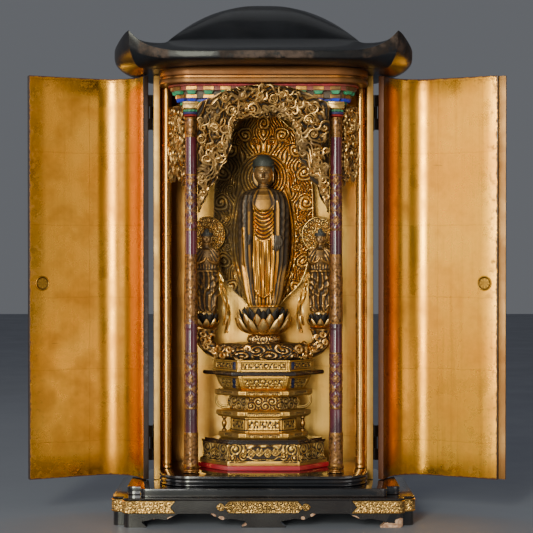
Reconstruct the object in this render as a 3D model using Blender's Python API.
# A lacquered household shrine with two hinged doors, open to show a gilt Amida on a tiered dais.
# Metres, +Z up. The origin is on the floor under the middle of the base, and the front faces -Y.

import math

import bmesh
import bpy
import numpy as np
from mathutils import Matrix

# Clearances
seat = 0.0003  # between pieces that rest on or meet each other
swing = 0.0010  # between a door and what it passes over
headGap = 0.0015  # between a closed door and the floor and cornice behind it

# Base
plinthWidth = 0.394
plinthDepth = 0.188
plinthHeight = 0.038
plinthWall = 0.012
plinthBoard = 0.015
beadHeight = 0.0032
beadOverhang = 0.0012
plinthNotch = 0.0150
plinthRound = 0.0090
bayStart = 0.0285  # the middle foot's half width on the floor
sideBayHalf = 0.050
footHalf = 0.0460  # the corner feet's reach along the front
tierWidth = 0.3574
tierDepth = 0.169
tierHeight = 0.0107
tierNotch = 0.0180
tierRound = 0.0080
floorHeight = 0.0138
plateThickness = 0.0008
plateBottom = 0.0187
plateHeight = 0.0156
plaqueHalf = 0.0610
cornerPlateReach = 0.0825
cornerPlateReturn = 0.026

# Case
bodyWidth = 0.2954
wallThickness = 0.0085
wallHeight = 0.5433
hingePlane = -0.013  # the front edges of the side walls
caseDepth = 0.078  # from the hinge plane to the back wall
backThickness = 0.008
corniceHeight = 0.0218
corniceFrame = 0.0185
ceilingThickness = 0.005
friezeHeight = 0.0250
frontRise = 0.0054  # how much higher the roof's underside is at the front

# Doors
doorThickness = 0.0075
doorCornerRadius = 0.045
doorReturn = 0.017
doorOpening = math.radians(155)
meetingGap = 0.0006
stripWidth = 0.020
stripOverlap = 0.009
stripThickness = 0.004
pullDiameter = 0.020
pullThickness = 0.0012
pullFromEdge = 0.018
pullHeight = 0.3135
hingeStandoff = 0.0033
hingeLength = 0.047
hingeLeafWidth = 0.0165
hingeLeafThickness = 0.0012
hingePinRadius = 0.0018
hingeFromEnd = 0.0255  # from a door's top or bottom to the hinge

# Roof
roofWidth = 0.400
roofDepth = 0.242
tipHalfWidth = 0.172
tipHalfDepth = 0.105
eaveThickness = 0.0080
frontLip = 0.0102  # the front eave above the side walls' tops
sideLip = 0.0208
tipLip = 0.0378
domeHalfWidth = 0.135
domeHalfDepth = 0.085
domeCornerX = 0.124
domeCornerY = 0.074
domeBase = 0.0392
domeCornerDrop = 0.0030
domeHeight = 0.0542

# Columns and carvings
columnInset = 0.0427  # from the cornice's side to a front column's axis
columnSetback = 0.0330  # from the cornice's front to the same axis
columnRadius = 0.0083
capitalHeight = 0.0162
sideColumnInset = 0.0082  # from a side wall's inner face to its column's axis
sideColumnSetback = 0.014  # behind the hinge plane
sideColumnRadius = 0.0064
archDrop = 0.1437  # from the frieze to the arch's feet
archSetback = 0.0043  # from the columns' axes back to the arch's feet
archThickness = 0.0055
archRelief = 0.0035
archLean = 0.158
sideCarvingThickness = 0.005
sideCarvingDrop = 0.1070

# Dais and figures
daisY = 0.013
redPlateWidth = 0.181
redPlateDepth = 0.084
redPlateHeight = 0.0063
figureHeight = 0.2077
figureY = 0.009
mandorlaY = 0.0350
mandorlaHeight = 0.267
mandorlaHalfWidth = 0.0688
mandorlaThickness = 0.004
mandorlaRelief = 0.003
attendantX = 0.0770
attendantHeight = 0.1227
attendantLotusRadius = 0.0190
attendantLotusHeight = 0.0217
cloudPadHeight = 0.0200
haloRadius = 0.025

# Levels and planes that follow from the sizes above
tierBottom = plinthHeight + seat
tierTop = tierBottom + tierHeight
floorBottom = tierTop + seat
floorTop = floorBottom + floorHeight
wallTop = floorBottom + wallHeight
roofBottom = wallTop + seat
corniceTop = roofBottom + frontRise - seat
corniceBottom = corniceTop - corniceHeight
friezeTop = corniceBottom - seat
friezeBottom = friezeTop - friezeHeight
bodyHalf = bodyWidth / 2
wallInner = bodyHalf - wallThickness
backPlane = hingePlane + caseDepth
doorInnerHalf = bodyHalf - doorThickness
doorFrontDrop = doorReturn + doorCornerRadius + doorThickness
frameHalf = doorInnerHalf - headGap
frameFront = hingePlane - doorReturn - doorCornerRadius + headGap
frameRadius = doorCornerRadius - headGap
hingeX = bodyHalf + hingeStandoff
doorBottom = tierTop + swing
doorHeight = roofBottom - swing - doorBottom
hingeLow = doorBottom + hingeFromEnd + hingeLength / 2
hingeHigh = doorBottom + doorHeight - hingeFromEnd - hingeLength / 2
columnX = frameHalf - columnInset
columnY = frameFront + columnSetback
sideColumnX = wallInner - sideColumnInset
sideColumnY = hingePlane + sideColumnSetback
archBottom = friezeBottom - archDrop
plinthFace = beadOverhang - seat

finishes = {
    "lacquer": ((0.012, 0.011, 0.013), 0.16, 0.0),
    "columnLacquer": ((0.050, 0.012, 0.016), 0.22, 0.0),
    "redLacquer": ((0.42, 0.030, 0.035), 0.30, 0.0),
    "gilt": ((0.78, 0.52, 0.17), 0.32, 1.0),
    "wornGilt": ((0.52, 0.33, 0.12), 0.42, 0.9),
    "painted": ((0.30, 0.25, 0.12), 0.45, 0.3),
    "robe": ((0.30, 0.21, 0.11), 0.48, 0.5),
    "brass": ((0.60, 0.42, 0.16), 0.35, 1.0),
}


# Making objects

def makeFinish(name, finish):
    colour, roughness, metallic = finishes[finish]
    material = bpy.data.materials.new(name + "_finish")
    material.use_nodes = True
    shader = material.node_tree.nodes["Principled BSDF"]
    shader.inputs["Base Color"].default_value = (*colour, 1.0)
    shader.inputs["Roughness"].default_value = roughness
    shader.inputs["Metallic"].default_value = metallic
    material.diffuse_color = (*colour, 1.0)
    return material


def makeObject(name, bm, finish, place=(0, 0, 0), turn=0.0, parent=None, mirror=False):
    if mirror:
        bmesh.ops.scale(bm, vec=(-1, 1, 1), verts=bm.verts)
    bmesh.ops.recalc_face_normals(bm, faces=bm.faces)
    mesh = bpy.data.meshes.new(name)
    bm.to_mesh(mesh)
    bm.free()
    mesh.shade_smooth()
    mesh.set_sharp_from_angle(angle=math.radians(32))
    mesh.materials.append(makeFinish(name, finish))
    obj = bpy.data.objects.new(name, mesh)
    obj.location = place
    obj.rotation_euler = (0, 0, turn)
    obj.parent = parent
    bpy.context.scene.collection.objects.link(obj)
    return obj


def joinWith(target, tool, operation):
    tool.hide_render = True
    tool.display_type = "WIRE"
    modifier = target.modifiers.new(operation.title(), "BOOLEAN")
    modifier.operation = operation
    modifier.object = tool
    modifier.solver = "EXACT"


# Making meshes

def loft(rings, tip=None):
    """Skin closed rings of equal length, with flat ends, or an end drawn up to one point."""
    bm = bmesh.new()
    rows = [[bm.verts.new(point) for point in ring] for ring in rings]
    for low, high in zip(rows, rows[1:]):
        for i in range(len(low)):
            j = (i + 1) % len(low)
            bm.faces.new((low[i], low[j], high[j], high[i]))
    bm.faces.new(rows[0][::-1])
    if tip is None:
        bm.faces.new(rows[-1])
    else:
        apex = bm.verts.new(tip)
        for i, vert in enumerate(rows[-1]):
            bm.faces.new((vert, rows[-1][(i + 1) % len(rows[-1])], apex))
    return bm


def prism(outline, low, high):
    """Extrude an outline in plan from one level to another."""
    return loft([[(x, y, z) for x, y in outline] for z in (low, high)])


def slab(outline, front, back):
    """Extrude an outline drawn in X and Z from front to back along Y."""
    return loft([[(x, y, z) for x, z in outline] for y in (front, back)])


def block(size):
    bm = bmesh.new()
    bmesh.ops.create_cube(bm, size=1)
    bmesh.ops.scale(bm, vec=size, verts=bm.verts)
    return bm


def turned(profile, sides, flat=1.0, start=0.0):
    """Turn a profile of radius and height about Z; flat below 1 makes it oval front to back."""
    rings = []
    for radius, z in profile:
        angles = [start + 2 * math.pi * i / sides for i in range(sides)]
        rings.append([(radius * math.cos(a), flat * radius * math.sin(a), z) for a in angles])
    return loft(rings)


def arc(centre, radius, start, end, steps):
    angles = [math.radians(start + (end - start) * i / steps) for i in range(steps + 1)]
    return [(centre[0] + radius * math.cos(a), centre[1] + radius * math.sin(a)) for a in angles]


def through(knots, t):
    """A smooth curve through points set at even steps of t from 0 to 1."""
    position = min(max(t, 0.0), 1.0) * (len(knots) - 1)
    i = min(int(position), len(knots) - 2)
    f = position - i
    before, start, end, after = (np.array(knots[min(max(k, 0), len(knots) - 1)], float)
                                 for k in (i - 1, i, i + 1, i + 2))
    tangentIn, tangentOut = (end - before) / 2, (after - start) / 2
    blend = (2 * f**3 - 3 * f**2 + 1, f**3 - 2 * f**2 + f, 3 * f**2 - 2 * f**3, f**3 - f**2)
    return blend[0] * start + blend[1] * tangentIn + blend[2] * end + blend[3] * tangentOut


# Base

def notchedQuarter(width, depth, notch, round_, inset, steps=2):
    """One corner, from the side to the end face: a rounded lobe, a step and a rounded edge."""
    halfX, halfY = width / 2 - inset, depth / 2 - inset
    radius = max(round_ - inset, 0.001)
    lobe = arc((halfX - radius, halfY - notch - radius), radius, 0, 90, steps)
    edge = arc((halfX - notch - radius, halfY - radius), radius, 0, 90, steps)
    return lobe + [(halfX - notch, halfY - notch)] + edge


def notchedOutline(width, depth, notch, round_, inset=0.0):
    quarter = notchedQuarter(width, depth, notch, round_, inset)
    half = quarter + [(-x, y) for x, y in reversed(quarter)]
    return half + [(-x, -y) for x, y in half]


def bayOutline(start, end):
    """The gap under an apron between two feet: flared toes, a cusp and a raised middle."""
    toe = [(0, -0.002), (0, 0.0012), (-0.0040, 0.0045), (-0.0060, 0.0078), (0.0025, 0.0096)]
    rise = [(0.0125, 0.0114), (0.0245, 0.0102), (0.0290, 0.0126), (0.0355, 0.0150)]
    crown = [(0.0385, 0.0172), (0.0415, 0.0181)]
    half = toe + rise + crown
    return [(start + x, z) for x, z in half] + [(end - x, z) for x, z in reversed(half)]


def makeBase():
    shape = (plinthWidth, plinthDepth, plinthNotch, plinthRound)
    beadBottom = plinthHeight - beadHeight
    levels = ((0, beadOverhang), (beadBottom - 0.0002, beadOverhang), (beadBottom, 0.0),
              (plinthHeight - 0.0008, 0.0), (plinthHeight, 0.0008))
    rings = [[(x, y, z) for x, y in notchedOutline(*shape, inset)] for z, inset in levels]
    plinth = makeObject("plinth", loft(rings), "lacquer")
    hollow = prism(notchedOutline(*shape, plinthWall), -0.01, plinthHeight - plinthBoard)
    joinWith(plinth, makeObject("plinth_hollow", hollow, "lacquer"), "DIFFERENCE")
    bayEnd = plinthWidth / 2 - footHalf
    reachY = plinthDepth / 2 + 0.02
    for side, name in ((1, "right"), (-1, "left")):
        bay = slab(bayOutline(bayStart, bayEnd), -reachY, reachY)
        tool = makeObject(f"bay_{name}", bay, "lacquer", mirror=side < 0)
        joinWith(plinth, tool, "DIFFERENCE")
    sideBay = slab(bayOutline(-sideBayHalf, sideBayHalf), -plinthWidth, plinthWidth)
    tool = makeObject("bay_side", sideBay, "lacquer", turn=math.pi / 2)
    joinWith(plinth, tool, "DIFFERENCE")

    shape = (tierWidth, tierDepth, tierNotch, tierRound)
    levels = ((tierBottom, 0.0006), (tierBottom + 0.0006, 0.0), (tierTop - 0.0008, 0.0), (tierTop, 0.0008))
    rings = [[(x, y, z) for x, y in notchedOutline(*shape, inset)] for z, inset in levels]
    makeObject("middle_tier", loft(rings), "lacquer")

    # Two round mouldings under a square-edged floor board, all with the doors' rounded corners
    levels = ((0.0, 0.0008), (0.0012, 0.0), (0.0026, 0.0010), (0.0035, 0.0022), (0.0046, 0.0008),
              (0.0067, 0.0), (0.0088, 0.0008), (0.0097, 0.0022), (0.0106, 0.0004),
              (floorHeight - 0.0006, 0.0), (floorHeight, 0.0006))
    rear = backPlane - seat
    rings = [[(x, y, floorBottom + z) for x, y in frontPath(inset, rear)] for z, inset in levels]
    makeObject("floor_platform", loft(rings), "lacquer")


def makeBaseMetalwork():
    shape = (plinthWidth, plinthDepth, plinthNotch, plinthRound)
    top = plateBottom + plateHeight
    for side, name in ((1, "right"), (-1, "left")):
        faces = []
        for inset in (plinthFace, plinthFace - plateThickness):
            quarter = notchedQuarter(*shape, inset)
            halfX, halfY = plinthWidth / 2 - inset, plinthDepth / 2 - inset
            tail = (plinthWidth / 2 - cornerPlateReach, halfY)
            rear = (halfX, plinthDepth / 2 - plinthNotch - cornerPlateReturn)
            faces.append([(x, -y) for x, y in [rear] + quarter + [tail]])
        strip = prism(faces[0] + faces[1][::-1], plateBottom, top)
        plate = makeObject(f"corner_plate_{name}", strip, "brass", mirror=side < 0)
        end = plinthWidth / 2 - cornerPlateReach
        middle = plateBottom + plateHeight / 2
        half = plateHeight / 2 + 0.001
        wedge = [(end - 0.001, middle - half), (end + 0.007, middle), (end - 0.001, middle + half)]
        cut = slab(wedge, -plinthDepth / 2 - 0.01, -plinthDepth / 2 + 0.01)
        joinWith(plate, makeObject(f"swallow_tail_{name}", cut, "brass", mirror=side < 0), "DIFFERENCE")

    # The plaque's ends pinch in to a small three-lobed tip
    half = plateHeight / 2
    tip = ((0.0, 0.0), (0.0020, 0.40), (0.0055, 0.64), (0.0090, 0.53), (0.0110, 0.23),
           (0.0132, 0.57), (0.0165, 0.99))
    upper = [(-plaqueHalf + x, half * z) for x, z in tip]
    upper += [(-x, z) for x, z in reversed(upper[1:])] + [(plaqueHalf, 0.0)]
    outline = upper + [(x, -z) for x, z in reversed(upper[1:-1])]
    back = -plinthDepth / 2 + plinthFace
    plaque = slab(outline, back - plateThickness, back)
    makeObject("front_plaque", plaque, "brass", place=(0, 0, plateBottom + half))


# Case

def frontPath(inset, rear, steps=4):
    """From the rear left round the front to the rear right, parallel to the closed doors' inner face."""
    half, radius = frameHalf - inset, frameRadius - inset
    centreX, centreY = half - radius, frameFront + inset + radius
    left = arc((-centreX, centreY), radius, 180, 270, steps)
    right = arc((centreX, centreY), radius, 270, 360, steps)
    return [(-half, rear)] + left + right + [(half, rear)]


def makeCase():
    wallDepth = caseDepth - seat
    for side, name in ((1, "right"), (-1, "left")):
        wall = block((wallThickness, wallDepth, wallHeight))
        middle = (side * (bodyHalf - wallThickness / 2), hingePlane + wallDepth / 2)
        makeObject(f"side_wall_{name}", wall, "gilt", place=(*middle, floorBottom + wallHeight / 2))
    back = block((bodyWidth, backThickness, wallHeight))
    place = (0, backPlane + backThickness / 2, floorBottom + wallHeight / 2)
    makeObject("back_wall", back, "gilt", place=place)

    levels = ((0.0, 0.0008), (0.0066, 0.0), (0.0070, 0.0022), (0.0092, 0.0022), (0.0096, 0.0),
              (0.0192, 0.0), (corniceHeight, 0.0030))
    rear = backPlane - seat
    inner = frontPath(corniceFrame, rear)[::-1]
    rings = [[(x, y, corniceBottom + z) for x, y in frontPath(inset, rear) + inner] for z, inset in levels]
    makeObject("cornice", loft(rings), "wornGilt")
    board = prism(frontPath(corniceFrame + seat, rear), corniceBottom, corniceBottom + ceilingThickness)
    makeObject("ceiling_board", board, "wornGilt")


def frontStation(distance, inset):
    """A point at a distance along the front from its middle, set in from the cornice's face."""
    side, along = math.copysign(1, distance), abs(distance)
    centreX, centreY = frameHalf - frameRadius, frameFront + frameRadius
    turn = (frameRadius - 0.0155) * math.pi / 2  # the corner's length at the upper blocks
    radius = frameRadius - inset
    if along <= centreX:
        return side * along, frameFront + inset
    if along <= centreX + turn:
        angle = math.pi / 2 * (along - centreX) / turn
        return side * (centreX + radius * math.sin(angle)), centreY - radius * math.cos(angle)
    return side * (centreX + radius), centreY + along - centreX - turn


def makeFrieze():
    """Two rows of bracket blocks stepping forward from a beam, under a plain band."""
    blockWidth, pitch, firstBlock = 0.0140, 0.0224, 0.0497
    blocks = [firstBlock + pitch * k for k in range(5)]
    blocks = [-s for s in reversed(blocks)] + blocks
    reach = frameHalf - frameRadius + 0.057
    levels = ((0.0, 0.030, 0.030), (0.0030, 0.030, 0.0265), (0.0072, 0.030, 0.0225),
              (0.0122, 0.030, 0.0225), (0.0124, 0.0235, 0.0195), (0.0175, 0.0235, 0.0155),
              (0.0224, 0.0235, 0.0155), (0.0226, 0.0120, 0.0120), (friezeHeight, 0.0120, 0.0120))
    bends = [frameHalf - frameRadius + x for x in (0.0, 0.022, 0.044)]
    innerStations = [reach] + bends[::-1] + [-s for s in bends] + [-reach]
    rings = []
    for z, base, face in levels:
        outer = [frontStation(-reach, base)]
        for s in blocks:
            half = blockWidth / 2
            outer.append(frontStation(s - half - 0.0002, base))
            outer += [frontStation(s - half, face), frontStation(s + half, face)]
            outer.append(frontStation(s + half + 0.0002, base))
        outer.append(frontStation(reach, base))
        inner = [frontStation(s, 0.0345) for s in innerStations]
        rings.append([(x, y, friezeBottom + z) for x, y in outer + inner])
    makeObject("bracket_frieze", loft(rings), "painted")


# Doors

def doorOutline():
    """Plan of the left door, closed, about its hinge axis, with +X towards the middle."""
    outer, inner = hingeStandoff, hingeStandoff + doorThickness
    reach = hingeX - meetingGap
    centre = (inner + doorCornerRadius, -doorReturn)
    outside = arc(centre, doorCornerRadius + doorThickness, 180, 270, 8)
    inside = arc(centre, doorCornerRadius, 180, 270, 8)
    edge = -meetingGap
    outside = [(outer, edge)] + outside + [(reach, -doorFrontDrop)]
    inside = [(inner, edge)] + inside + [(reach, -doorFrontDrop + doorThickness)]
    return outside + inside[::-1]


def hingeLeaf(direction, knuckles):
    """A leaf on an outside face and the knuckles that it carries round the pin."""
    outside = hingeStandoff - seat
    plate = block((hingeLeafThickness, hingeLeafWidth, hingeLength))
    shift = (outside - hingeLeafThickness / 2, direction * (0.0022 + hingeLeafWidth / 2), 0)
    bmesh.ops.translate(plate, vec=shift, verts=plate.verts)
    flange = [(outside - 0.0001, 0.0004), (outside - 0.0001, 0.0034), (outside - 0.0011, 0.0034)]
    web = [(x, direction * y) for x, y in arc((0, 0), hingePinRadius, 75, 345, 8) + flange]
    return plate, [prism(web, low, high) for low, high in knuckles]


def makeHinge(name, side, height, door):
    third = hingeLength / 3
    half = hingeLength / 2
    wallKnuckle = [(-third / 2, third / 2)]
    doorKnuckles = [(-half + seat, -third / 2 - seat), (third / 2 + seat, half - seat)]
    for part, direction, knuckles in (("wall", 1, wallKnuckle), ("door", -1, doorKnuckles)):
        plate, webs = hingeLeaf(direction, knuckles)
        if part == "wall":
            where = {"place": (side * hingeX, hingePlane, height)}
        else:
            where = {"place": (0, 0, height), "parent": door}
        leaf = makeObject(f"{name}_{part}_leaf", plate, "brass", mirror=side > 0, **where)
        for i, web in enumerate(webs):
            tool = makeObject(f"{name}_{part}_web_{i}", web, "brass", mirror=side > 0, **where)
            joinWith(leaf, tool, "UNION")


def makeDoor(side, name):
    door = bpy.data.objects.new(f"door_{name}_hinge_axis", None)
    door.location = (side * hingeX, hingePlane, 0)
    door.rotation_euler = (0, 0, side * doorOpening)
    bpy.context.scene.collection.objects.link(door)
    mirror = side > 0
    panel = prism(doorOutline(), doorBottom, doorBottom + doorHeight)
    makeObject(f"door_{name}_panel", panel, "gilt", parent=door, mirror=mirror)

    radius = pullDiameter / 2
    ring = ((radius, 0.0), (radius, 0.8), (0.82 * radius, 1.0), (0.64 * radius, 0.4))
    pull = turned([(r, h * pullThickness) for r, h in ring], 14)
    bmesh.ops.rotate(pull, matrix=Matrix.Rotation(-math.pi / 2, 3, "X"), verts=pull.verts)
    inside = -doorFrontDrop + doorThickness + seat
    x = side * (pullFromEdge + meetingGap - hingeX)
    makeObject(f"door_{name}_pull", pull, "brass", place=(x, inside, pullHeight), parent=door)

    if side > 0:
        front = -doorFrontDrop - seat - stripThickness
        left = -hingeX + meetingGap - stripOverlap
        bevel = 0.0015
        outline = [(left, front + stripThickness), (left, front + bevel), (left + bevel, front),
                   (left + stripWidth - bevel, front), (left + stripWidth, front + bevel),
                   (left + stripWidth, front + stripThickness)]
        strip = prism(outline, doorBottom, doorBottom + doorHeight)
        makeObject("door_right_meeting_strip", strip, "lacquer", parent=door)
    for place, height in (("top", hingeHigh), ("bottom", hingeLow)):
        makeHinge(f"hinge_{name}_{place}", side, height, door)


# Roof

def barrelRing(halfX, halfY, bulgeX, bulgeY, frontSteps=10, sideSteps=6):
    """Plan of a rectangle whose four sides bow out between its corners, as (x, y, share along a side)."""
    points = []
    for i in range(frontSteps):
        t = math.sin(math.pi / 2 * (2 * i / frontSteps - 1))
        points.append((t * halfX, -halfY - bulgeY * (1 - t * t), "front", t))
    for i in range(sideSteps):
        t = 2 * i / sideSteps - 1
        points.append((halfX + bulgeX * (1 - t * t), t * halfY, "side", t))
    return points + [(-x, -y, face, t) for x, y, face, t in points]


def eaveHeight(face, t):
    """Lower edge of the eave above the side walls' tops: flat at the front, then sharply up to the tips."""
    if face == "front":
        return frontLip + (tipLip - frontLip) * abs(t) ** 7.5
    return sideLip + (tipLip - sideLip) * t * t


def skirtHeight(face, t, r):
    """The roof's skin from the lip, r = 0, to the dome's foot, r = 1: the tips' upturn dies away quickly."""
    foot = domeBase - domeCornerDrop * (abs(t) ** 5 if face == "front" else 1.0)
    corner = frontLip + (tipLip - frontLip) * (1 - r) ** 2.1
    if face == "front":
        low = frontLip + (tipLip - frontLip) * abs(t) ** 7.5 * (1 - r) ** 2.1
        return low + eaveThickness * (1 - r**1.7) + (foot - frontLip) * r**1.7
    lip = eaveHeight(face, t) + eaveThickness
    plain = lip + (foot - lip) * r**1.3
    corner += eaveThickness * (1 - r**1.7) + (foot - frontLip) * r**1.7
    return plain + (corner - plain) * abs(t) ** 6


def makeRoof():
    lip = barrelRing(tipHalfWidth, tipHalfDepth, roofWidth / 2 - tipHalfWidth, roofDepth / 2 - tipHalfDepth)
    bodyRear = backPlane + backThickness
    body = barrelRing(bodyHalf + 0.0018, bodyRear + 0.0018, 0, 0)
    crease = barrelRing(domeCornerX, domeCornerY, domeHalfWidth - domeCornerX, domeHalfDepth - domeCornerY)
    rings = []
    rings.append([(x * 0.9, y * 0.82, roofBottom) for x, y, _, _ in body])
    for s in (0.0, 0.35, 0.60, 0.80, 0.93, 1.0):
        swell = max(s - 0.35, 0.0) / 0.65
        rise = 1 - math.sqrt(1 - swell * swell)
        ring = []
        for (bx, by, face, t), (lx, ly, _, _) in zip(body, lip):
            low = frontRise * (1 - abs(t) ** 3) if face == "front" and ly < 0 else 0.0
            z = low + (eaveHeight(face, t) - low) * rise
            ring.append((bx + (lx - bx) * s, by + (ly - by) * s, roofBottom + z))
        rings.append(ring)
    for r in (0.0, 0.2, 0.45, 0.72, 1.0):
        ring = []
        for (lx, ly, face, t), (cx, cy, _, _) in zip(lip, crease):
            ring.append((lx + (cx - lx) * r, ly + (cy - ly) * r, roofBottom + skirtHeight(face, t, r)))
        rings.append(ring)
    for k in (0.92, 0.76, 0.52, 0.26):
        rings.append([(cx * k, cy * k, roofBottom + skirtHeight(face, t, 1.0) * k + domeBase * (1 - k)
                       + domeHeight * (1 - k**2.3)) for cx, cy, face, t in crease])
    top = (0, 0, roofBottom + domeBase + domeHeight)
    roof = makeObject("roof", loft(rings, tip=top), "lacquer")
    recess = prism(frontPath(-seat, backPlane - seat / 2), roofBottom - 0.01, roofBottom + frontRise)
    joinWith(roof, makeObject("cornice_recess", recess, "lacquer"), "DIFFERENCE")


# Columns and carvings

def makeColumns():
    bottom = floorTop + seat
    top = friezeBottom - seat - capitalHeight - seat
    height = top - bottom
    swell = (1.34, 1.36, 1.12, 1.34, 1.14)
    foot = [(columnRadius * k, z) for k, z in zip(swell, (0, 0.0026, 0.0040, 0.0074, 0.0100))]
    sleeveTop, bandLow, bandHigh, topSleeve = 0.0520, 0.404, 0.551, 0.953
    shaft = [(columnRadius * 1.14, sleeveTop), (columnRadius * 1.06, sleeveTop + 0.001),
             (columnRadius * 1.04, height * bandLow), (columnRadius * 1.08, height * bandLow + 0.001),
             (columnRadius * 1.07, height * bandHigh), (columnRadius * 1.01, height * bandHigh + 0.001),
             (columnRadius * 0.96, height * topSleeve), (columnRadius, height * topSleeve + 0.001),
             (columnRadius, height)]
    r = columnRadius
    cap = ((0.95 * r, 0.0), (1.22 * r, 0.0035), (1.30 * r, 0.0080), (1.0 * r, 0.0104), (1.36 * r, 0.0110),
           (1.36 * r, capitalHeight))
    sideTop = corniceBottom - seat - bottom
    q = sideColumnRadius
    sideProfile = ((1.05 * q, 0.0), (1.05 * q, 0.002), (0.98 * q, 0.004), (1.05 * q, 0.007), (q, 0.010),
                   (q, sideTop))
    for side, name in ((1, "right"), (-1, "left")):
        place = (side * columnX, columnY, bottom)
        makeObject(f"column_{name}", turned(foot + shaft, 10), "columnLacquer", place=place)
        place = (side * columnX, columnY, top + seat)
        makeObject(f"capital_{name}", turned(cap, 8, start=math.pi / 8), "painted", place=place)
        place = (side * sideColumnX, sideColumnY, bottom)
        makeObject(f"side_column_{name}", turned(sideProfile, 10), "gilt", place=place)


def archEdges(t):
    """The arch's lower and upper edge, for t from -1 at the left column to 1 at the right."""
    half = columnX - columnRadius * 1.08 - seat
    lower = [(1.0, 0.0), (0.962, 0.056), (0.80, 0.239), (0.634, 0.424), (0.512, 0.562), (0.47, 0.747),
             (0.331, 0.857), (0.0, 0.885)]
    upper = [(1.0, -0.042), (1.0, 0.278), (1.0, 0.626), (1.0, 0.959), (0.80, 1.044), (0.55, 1.113),
             (0.28, 1.152), (0.0, 1.170)]
    low = through(lower, 1 - abs(t))
    high = through(upper, 1 - abs(t))
    side = math.copysign(1, t)
    return [(side * half * min(x, 1.0), archBottom + archDrop * share) for x, share in (low, high)]


def carvedSheet(rows, columns, point, thickness, relief, back):
    """A carved panel over a flat back, from point(u, v) in X and Z; back(z) is the back's Y."""
    bm = bmesh.new()
    front, rim = [], []
    for i in range(rows + 1):
        line = []
        for j in range(columns + 1):
            u, v = j / columns, i / rows
            x, z = point(u, v)
            edge = min(1.0, 6 * min(u, 1 - u, v, 1 - v) + 0.25)
            y = back(z) - thickness - relief * edge * carving(x, z)
            line.append(bm.verts.new((x, y, z)))
        front.append(line)
    for low, high in zip(front, front[1:]):
        for j in range(columns):
            bm.faces.new((low[j], low[j + 1], high[j + 1], high[j]))
    loop = front[0] + [row[-1] for row in front[1:]] + front[-1][-2::-1] + [row[0] for row in front[-2:0:-1]]
    for vert in loop:
        x, _, z = vert.co
        rim.append(bm.verts.new((x, back(z), z)))
    for i in range(len(loop)):
        j = (i + 1) % len(loop)
        bm.faces.new((loop[j], loop[i], rim[i], rim[j]))
    bm.faces.new(rim)
    return bm


def carving(x, z):
    """Rolling scrolls, as a height from 0 to 1."""
    wave = math.sin(210 * x + 2.0 * math.sin(95 * z)) * math.sin(190 * z + 1.7 * math.cos(120 * x))
    return 0.5 + 0.5 * wave


def makeArch():
    def point(u, v):
        low, high = archEdges(2 * u - 1)
        return low[0] + (high[0] - low[0]) * v, low[1] + (high[1] - low[1]) * v

    def back(z):
        return columnY + archSetback - archLean * (z - archBottom)

    sheet = carvedSheet(4, 32, point, archThickness, archRelief, back)
    makeObject("carved_arch", sheet, "wornGilt")

    along = math.hypot(sideColumnX - columnX, sideColumnY - columnY)
    start = columnRadius * 1.36 + 0.0005
    end = along - sideColumnRadius * 1.1 - 0.0015
    length = end - start
    drop = ((0.0, 0.94), (0.10, 1.00), (0.28, 0.92), (0.42, 0.95), (0.55, 0.86), (0.68, 0.88),
            (0.80, 0.97), (0.90, 0.90), (1.0, 0.82))
    outline = [(start, 0.0)] + [(start + length * s, -sideCarvingDrop * d) for s, d in drop] + [(end, 0.0)]
    angle = math.atan2(sideColumnY - columnY, sideColumnX - columnX)
    for side, name in ((1, "right"), (-1, "left")):
        panel = slab(outline, -sideCarvingThickness / 2, sideCarvingThickness / 2)
        bmesh.ops.rotate(panel, matrix=Matrix.Rotation(angle, 3, "Z"), verts=panel.verts)
        place = (side * columnX, columnY, friezeBottom - seat)
        makeObject(f"side_carving_{name}", panel, "wornGilt", place=place, mirror=side < 0)


# Dais

def hexRing(halfX, halfY, z, perSide=1, bulge=None):
    """A flattened hexagon with its broad face to the front, its sides cut at 45 degrees."""
    front = halfX - halfY
    corners = [(-front, -halfY), (front, -halfY), (halfX, 0), (front, halfY), (-front, halfY), (-halfX, 0)]
    ring = []
    for k in range(6):
        (ax, ay), (bx, by) = corners[k], corners[(k + 1) % 6]
        for i in range(perSide):
            f = i / perSide
            x, y = ax + (bx - ax) * f, ay + (by - ay) * f
            grow = 1.0 if bulge is None else 1.0 + bulge(k, f, z)
            ring.append((x * grow, y * grow, z))
    return ring


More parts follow.
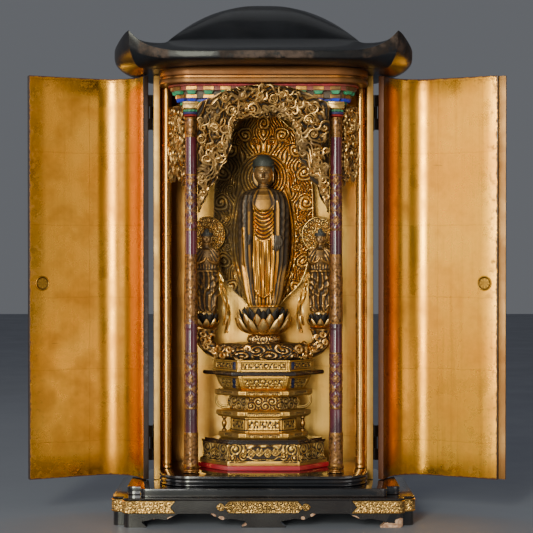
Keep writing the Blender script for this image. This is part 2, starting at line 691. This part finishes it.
def daisStack():
    """Each tier's name, finish, facets to a side, height and profile: (half width, half depth, share)."""
    return [
        ("dais_plinth", "wornGilt", 4, 0.0333,
         ((0.0865, 0.0385, 0), (0.0865, 0.0385, 0.20), (0.0815, 0.0345, 0.30), (0.0828, 0.0360, 0.55),
          (0.0828, 0.0360, 0.88), (0.0800, 0.0340, 1))),
        ("dais_lower_plate", "gilt", 1, 0.0081,
         ((0.0595, 0.0265, 0), (0.0613, 0.0280, 0.3), (0.0613, 0.0280, 0.8), (0.0600, 0.0268, 1))),
        ("dais_waist", "wornGilt", 1, 0.0198, ((0.0450, 0.0207, 0), (0.0450, 0.0207, 1))),
        ("dais_middle_plate", "gilt", 1, 0.0090,
         ((0.0600, 0.0275, 0), (0.0647, 0.0300, 0.4), (0.0647, 0.0300, 0.85), (0.0636, 0.0290, 1))),
        ("dais_drum", "wornGilt", 4, 0.0195,
         ((0.0450, 0.0240, 0), (0.0490, 0.0265, 0.3), (0.0490, 0.0265, 0.65), (0.0440, 0.0235, 1))),
        ("dais_upper_plate", "gilt", 1, 0.0080,
         ((0.0640, 0.0310, 0), (0.0668, 0.0335, 0.3), (0.0668, 0.0335, 0.8), (0.0655, 0.0325, 1))),
        ("dais_bowl", "wornGilt", 2, 0.0198,
         ((0.0545, 0.0255, 0), (0.0590, 0.0285, 0.25), (0.0630, 0.0305, 0.65), (0.0650, 0.0315, 1))),
        ("dais_wide_plate", "lacquer", 1, 0.0056,
         ((0.0805, 0.0385, 0), (0.0827, 0.0400, 0.3), (0.0827, 0.0400, 0.75), (0.0805, 0.0385, 1))),
        ("dais_box", "wornGilt", 1, 0.0147,
         ((0.0695, 0.0345, 0), (0.0680, 0.0335, 0.25), (0.0680, 0.0335, 0.75), (0.0700, 0.0348, 1))),
    ]


def tierCarving(k, f, z):
    """Shallow waves on a tier's faces, none at its corners."""
    return 0.022 * math.sin(math.pi * f) * math.sin(3 * math.pi * f) * math.sin(330 * z + k)


def makeDais():
    z = floorTop + seat
    ring = hexRing(redPlateWidth / 2, redPlateDepth / 2, 0)
    plate = loft([[(x, y, h) for x, y, _ in ring] for h in (0.0, redPlateHeight)])
    makeObject("red_plate", plate, "redLacquer", place=(0, daisY, z))
    z += redPlateHeight + seat
    for name, finish, sides, height, profile in daisStack():
        rings = [hexRing(w, d, share * height, sides, tierCarving if sides > 2 and 0 < share < 1 else None)
                 for w, d, share in profile]
        tier = makeObject(name, loft(rings), finish, place=(0, daisY, z))
        for side, hand in ((1, "right"), (-1, "left")):
            if name == "dais_waist":
                makeWaistPost(side, hand, height, z)
            if name == "dais_drum":
                joinWith(tier, makeDrumHandle(side, hand, height, z), "UNION")
        z += height + seat
    return z


def makeWaistPost(side, name, height, z):
    """A small turned post outside each end of the waist."""
    profile = [(0.0036, 0.0), (0.0036, 0.12), (0.0020, 0.22), (0.0036, 0.50), (0.0020, 0.78), (0.0036, 0.88),
               (0.0036, 1.0)]
    post = turned([(r, share * height) for r, share in profile], 8)
    makeObject(f"dais_post_{name}", post, "gilt", place=(side * 0.0535, daisY, z))


def makeDrumHandle(side, name, height, z):
    """A leaf at each end of the drum that sweeps out and up like a handle."""
    outer = [(0.0450, 0.03), (0.0570, 0.08), (0.0640, 0.32), (0.0660, 0.62), (0.0655, 0.98)]
    inner = [(0.0620, 0.98), (0.0624, 0.68), (0.0600, 0.44), (0.0550, 0.30), (0.0450, 0.26)]
    outline = [(x, share * height) for x, share in outer + inner]
    leaf = slab(outline, -0.005, 0.005)
    return makeObject(f"drum_handle_{name}", leaf, "wornGilt", place=(0, daisY, z), mirror=side < 0)


def makeClouds(z):
    """A lobed bank of cloud with an arm at each end that curls up to carry an attendant."""
    height = 0.0211

    def lobes(k, f, level):
        return 0.075 * abs(math.sin(2 * math.pi * f)) + 0.03 * math.sin(260 * level + k)

    profile = ((0.0640, 0.0310, 0.0), (0.0740, 0.0350, 0.25), (0.0720, 0.0345, 0.55), (0.0620, 0.0300, 0.85),
               (0.0480, 0.0250, 1.0))
    rings = [hexRing(w, d, share * height, 4, lobes if 0 < share < 1 else None) for w, d, share in profile]
    bank = makeObject("cloud_bank", loft(rings), "wornGilt", place=(0, daisY, z))
    padTop = height + cloudPadHeight
    route = [(0.0560, 0.010), (0.0680, 0.0130), (0.0790, 0.0210), (attendantX, 0.0300), (attendantX, padTop)]
    sizes = [0.0090, 0.0100, 0.0105, 0.0115, 0.0150]
    for side, name in ((1, "right"), (-1, "left")):
        rings = []
        for i in range(7):
            t = i / 6
            x, h = through(route, t)
            radius = float(np.interp(t, np.linspace(0, 1, len(sizes)), sizes))
            tilt = math.radians(90) * (1 - t)
            ring = []
            for j in range(10):
                a = 2 * math.pi * j / 10
                r = radius * (1 + 0.10 * math.cos(5 * a + 2 * i) * math.sin(math.pi * t))
                across, y = r * math.cos(a), r * math.sin(a)
                ring.append((x + across * math.cos(tilt), y, h - across * math.sin(tilt)))
            rings.append(ring)
        arm = makeObject(f"cloud_arm_{name}", loft(rings), "wornGilt", place=(0, daisY, z), mirror=side < 0)
        joinWith(bank, arm, "UNION")
    return z + height, z + padTop


def lotus(radius, height, petals, sides, rows=3):
    """Rows of petals opening upwards, each row's tips standing out from the bowl, with a flat top."""
    rings = []
    profile = [(0.52, 0.0), (0.62, 0.10)]
    for row in range(rows):
        low = 0.12 + 0.80 * row / rows
        high = 0.12 + 0.80 * (row + 1) / rows
        spread = 0.80 + 0.20 * math.sin(math.pi * (row + 0.9) / (rows + 0.6))
        profile += [(spread * 0.90, low + 0.03), (spread, high - 0.02)]
    profile += [(0.90, 0.955), (0.88, 1.0)]
    for index, (share, level) in enumerate(profile):
        ring = []
        for i in range(sides):
            a = 2 * math.pi * i / sides
            row = max(index - 2, 0) // 2
            shift = math.pi * (row % 2)
            edge = 0.0 if index < 2 or index > len(profile) - 3 else 0.05
            r = radius * share * (1 + edge * math.cos(petals * a + shift))
            ring.append((r * math.cos(a), r * math.sin(a), level * height))
        rings.append(ring)
    return loft(rings)


# Figures

def robedFigure(height, slices, folds, frontSides, droop=0.0):
    """A standing figure from oval slices: (share of height, half width, half depth, forward shift)."""
    rearSides = frontSides // 2
    angles = [math.pi * (i / frontSides - 0.5) for i in range(frontSides + 1)]
    angles += [math.pi * (0.5 + i / rearSides) for i in range(1, rearSides)]
    rings = []
    for share, width, depth, shift in slices:
        sag = droop * math.sin(math.pi * min(max((share - 0.40) / 0.36, 0.0), 1.0)) ** 2
        ring = []
        for a in angles:
            side, front = math.sin(a), math.cos(a)
            x = math.copysign(abs(side) ** 0.85, side)
            y = math.copysign(abs(front) ** 0.85, front)
            fold, low = (folds(x, share), sag * (1 - x * x)) if front > 0.05 else (0.0, 0.0)
            ring.append((x * width * height, -(y * depth + shift + fold) * height, (share - low) * height))
        rings.append(ring)
    return loft(rings)


def amidaForm():
    """The slices, from hem to crown, and the folds that stand out from them."""
    loopStart, loopStep, loopCount = 0.436, 0.0190, 13
    loops = [(loopStart + loopStep * k, 0.166, 0.088, 0.003) for k in range(loopCount)]
    slices = [
        (0.000, 0.108, 0.076, 0.000), (0.030, 0.116, 0.080, 0.000), (0.125, 0.132, 0.084, 0.000),
        (0.300, 0.162, 0.088, 0.000), (0.400, 0.165, 0.089, 0.002), *loops,
        (0.695, 0.158, 0.078, 0.006), (0.730, 0.148, 0.070, 0.006), (0.757, 0.124, 0.058, 0.004),
        (0.770, 0.080, 0.046, 0.006), (0.780, 0.040, 0.038, 0.008), (0.800, 0.037, 0.038, 0.014),
        (0.810, 0.044, 0.048, 0.018), (0.832, 0.056, 0.058, 0.018), (0.860, 0.061, 0.062, 0.016),
        (0.905, 0.064, 0.064, 0.014), (0.914, 0.077, 0.075, 0.010), (0.938, 0.074, 0.072, 0.008),
        (0.957, 0.056, 0.056, 0.006), (0.968, 0.040, 0.042, 0.004), (0.990, 0.031, 0.032, 0.003),
        (1.000, 0.014, 0.014, 0.003),
    ]

    def folds(x, share):
        """Upright pleats in the skirt, loops over the body, a groove inside each sleeve, and a nose."""
        groove = -0.026 * math.exp(-((abs(x) - 0.66) / 0.12) ** 2) if 0.02 < share < 0.66 else 0.0
        if share < 0.43:
            return groove + 0.0070 * math.cos(7.0 * math.pi * x) * (abs(x) < 0.9)
        row = round((share - loopStart) / loopStep)
        if 0 <= row < loopCount and abs(x) < 0.62:
            return groove + (0.0060 if row % 2 else -0.0030)
        return groove + (0.010 * math.exp(-(x / 0.22) ** 2) if 0.82 < share < 0.87 else 0.0)

    return slices, folds


def attendantForm():
    slices = [
        (0.00, 0.110, 0.090, 0.00), (0.06, 0.125, 0.098, 0.00), (0.28, 0.130, 0.100, 0.00),
        (0.45, 0.122, 0.095, 0.01), (0.52, 0.138, 0.095, 0.02), (0.60, 0.140, 0.092, 0.02),
        (0.685, 0.120, 0.078, 0.02), (0.715, 0.050, 0.045, 0.03), (0.745, 0.048, 0.050, 0.04),
        (0.780, 0.064, 0.066, 0.04), (0.838, 0.068, 0.068, 0.03), (0.855, 0.086, 0.082, 0.03),
        (0.905, 0.070, 0.070, 0.02), (0.925, 0.042, 0.042, 0.02), (0.975, 0.040, 0.038, 0.02),
        (1.000, 0.016, 0.016, 0.02),
    ]

    def folds(x, share):
        """Pleats in the skirt, and hands held before the chest."""
        pleats = 0.012 * math.cos(5.0 * math.pi * x) * (abs(x) < 0.9) if share < 0.46 else 0.0
        return pleats + 0.060 * math.exp(-(x / 0.45) ** 2) * math.exp(-((share - 0.57) / 0.06) ** 2)

    return slices, folds


def mandorlaOutline(share):
    """Half width of the boat-shaped mandorla at a share of its height."""
    knots = [0.34, 0.76, 0.92, 0.99, 1.00, 0.98, 0.91, 0.72, 0.24]
    return mandorlaHalfWidth * float(through([(k,) for k in knots], share)[0])


def makeFigures(bankTop, padTop):
    neckHeight, lotusHeight = 0.0106, 0.0378
    z = bankTop + seat
    neck = turned(((0.0200, 0.0), (0.0228, 0.35), (0.0228, 0.65), (0.0195, 1.0)), 14, flat=0.9)
    bmesh.ops.scale(neck, vec=(1, 1, neckHeight), verts=neck.verts)
    makeObject("lotus_neck", neck, "wornGilt", place=(0, daisY, z))
    z += neckHeight + seat
    makeObject("lotus", lotus(0.0400, lotusHeight, 10, 30), "wornGilt", place=(0, daisY, z))
    z += lotusHeight + seat
    figure = robedFigure(figureHeight, *amidaForm(), frontSides=14, droop=0.030)
    makeObject("amida_figure", figure, "robe", place=(0, figureY, z))

    def point(u, v):
        return (2 * u - 1) * mandorlaOutline(v), mandorlaHeight * v

    sheet = carvedSheet(18, 10, point, mandorlaThickness, mandorlaRelief, lambda z: 0.0)
    makeObject("mandorla", sheet, "wornGilt", place=(0, mandorlaY + mandorlaThickness, z))

    z = padTop + seat
    for side, name in ((1, "right"), (-1, "left")):
        place = (side * attendantX, daisY, z)
        flower = lotus(attendantLotusRadius, attendantLotusHeight, 8, 16, rows=2)
        makeObject(f"{name}_attendant_lotus", flower, "wornGilt", place=place)
        place = (side * attendantX, daisY - 0.002, z + attendantLotusHeight + seat)
        figure = robedFigure(attendantHeight, *attendantForm(), frontSides=10)
        attendant = makeObject(f"{name}_attendant", figure, "wornGilt", place=place)
        joinWith(attendant, makeScarf(side, name, place), "UNION")
        makeHalo(name, (side * attendantX, daisY + 0.0145, place[2]))


def makeScarf(side, name, place):
    """A narrow scarf that falls from the inner arm in a long curve to the cloud."""
    route = [(-0.0120, 0.0700), (-0.0150, 0.0520), (-0.0270, 0.0250), (-0.0310, -0.0050), (-0.0250, -0.0290)]
    rings = []
    for i in range(9):
        x, z = through(route, i / 8)
        half = 0.0012 + 0.0006 * math.sin(math.pi * i / 8)
        section = ((-half, -0.0035), (half, -0.0035), (half, 0.0005), (-half, 0.0005))
        rings.append([(x + across, y, z) for across, y in section])
    return makeObject(f"{name}_scarf", loft(rings), "wornGilt", place=place, mirror=side < 0)


def makeHalo(name, place):
    """A round halo on a stem that stands behind the figure."""
    centre = attendantHeight * 0.86
    stem = 0.0030
    foot = math.degrees(math.asin(stem / haloRadius))
    disc = arc((0, centre), haloRadius, -90 + foot, 270 - foot, 22)
    outline = disc + [(-stem, 0.0), (stem, 0.0)]
    makeObject(f"{name}_attendant_halo", slab(outline, 0.0, 0.0024), "gilt", place=place)


def main():
    for obj in list(bpy.data.objects):
        bpy.data.objects.remove(obj, do_unlink=True)
    makeBase()
    makeBaseMetalwork()
    makeCase()
    makeFrieze()
    for side, name in ((-1, "left"), (1, "right")):
        makeDoor(side, name)
    makeRoof()
    makeColumns()
    makeArch()
    bankTop, padTop = makeClouds(makeDais())
    makeFigures(bankTop, padTop)


main()
